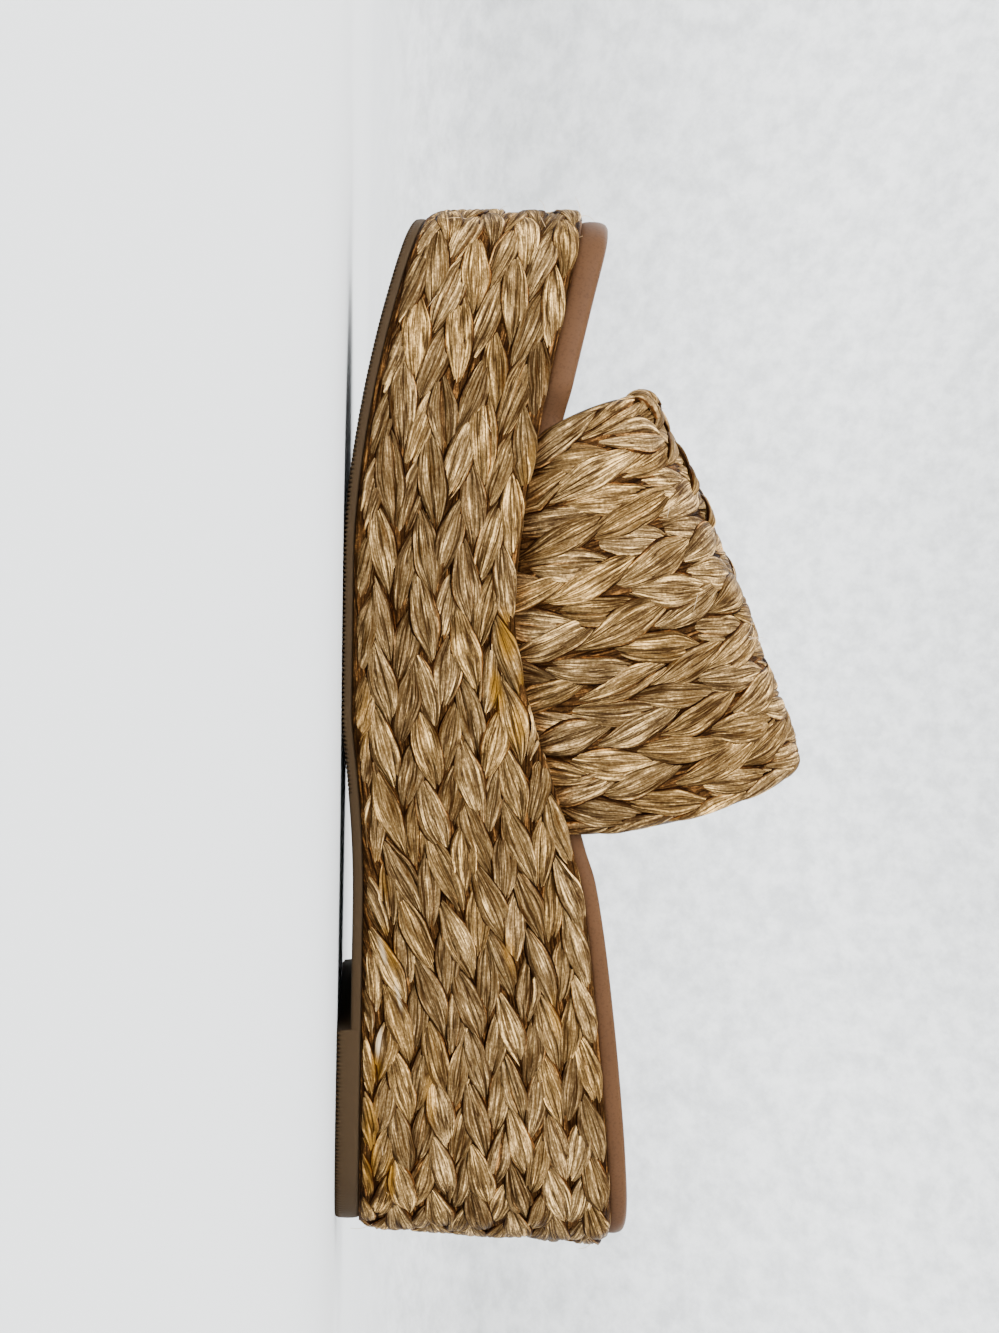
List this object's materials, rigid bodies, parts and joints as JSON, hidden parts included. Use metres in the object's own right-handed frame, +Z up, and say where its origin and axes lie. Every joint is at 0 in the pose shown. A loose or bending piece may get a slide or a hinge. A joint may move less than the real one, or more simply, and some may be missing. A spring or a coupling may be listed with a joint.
{
  "type": "platform wedge sandal",
  "caption": "Slip-on platform wedge sandal, right foot: braided raffia band over an open toe and heel, braid-wrapped wedge, leather insole and thin rubber sole.",
  "frame": {"origin": "on the ground, under the middle of the sandal's bounding box, with the empty sandal standing on its forefoot and heel", "axes": "+Z up, -Y towards the toe, +Y towards the heel, +X towards the inner (medial) side of this right sandal, -X towards its outer side"},
  "size_m": [0.0873, 0.2607, 0.1174],
  "materials": {
    "wrap_raffia": "glossy golden-brown raffia plaits with dark valleys and amber glue stains",
    "band_raffia": "antiqued straw-brown raffia plaits, satin",
    "insole_leather": "smooth tan leather with a soft edge",
    "sole_rubber": "matt taupe-brown rubber with fine ribs"
  },
  "bodies": {
    "root": {"wedge": "wrap_raffia", "upper": "band_raffia", "insole": "insole_leather", "outsole": "sole_rubber"}
  },
  "joints": []
}
